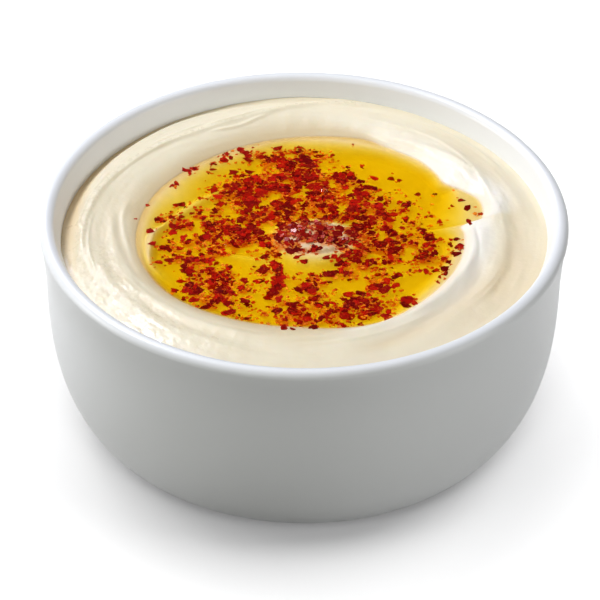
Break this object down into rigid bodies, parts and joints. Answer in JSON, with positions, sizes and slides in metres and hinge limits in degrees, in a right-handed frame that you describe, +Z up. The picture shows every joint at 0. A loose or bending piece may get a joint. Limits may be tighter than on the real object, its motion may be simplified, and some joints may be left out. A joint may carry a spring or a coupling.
{
  "type": "bowl of hummus",
  "caption": "Round white porcelain bowl filled with swirled hummus, with a pool of olive oil in the swirl and chilli flakes scattered over it.",
  "frame": {"origin": "middle of the bowl's foot, on the surface that it stands on", "axes": "+Z up along the bowl's axis, -Y towards the front, +X to the right seen from the front"},
  "size_m": [0.13, 0.13, 0.06],
  "materials": {
    "bowl": "gloss",
    "hummus": "satin",
    "olive_oil": "gloss"
  },
  "bodies": {
    "root": {"bowl": "bowl", "hummus": "hummus", "olive_oil": "olive_oil"}
  },
  "joints": []
}
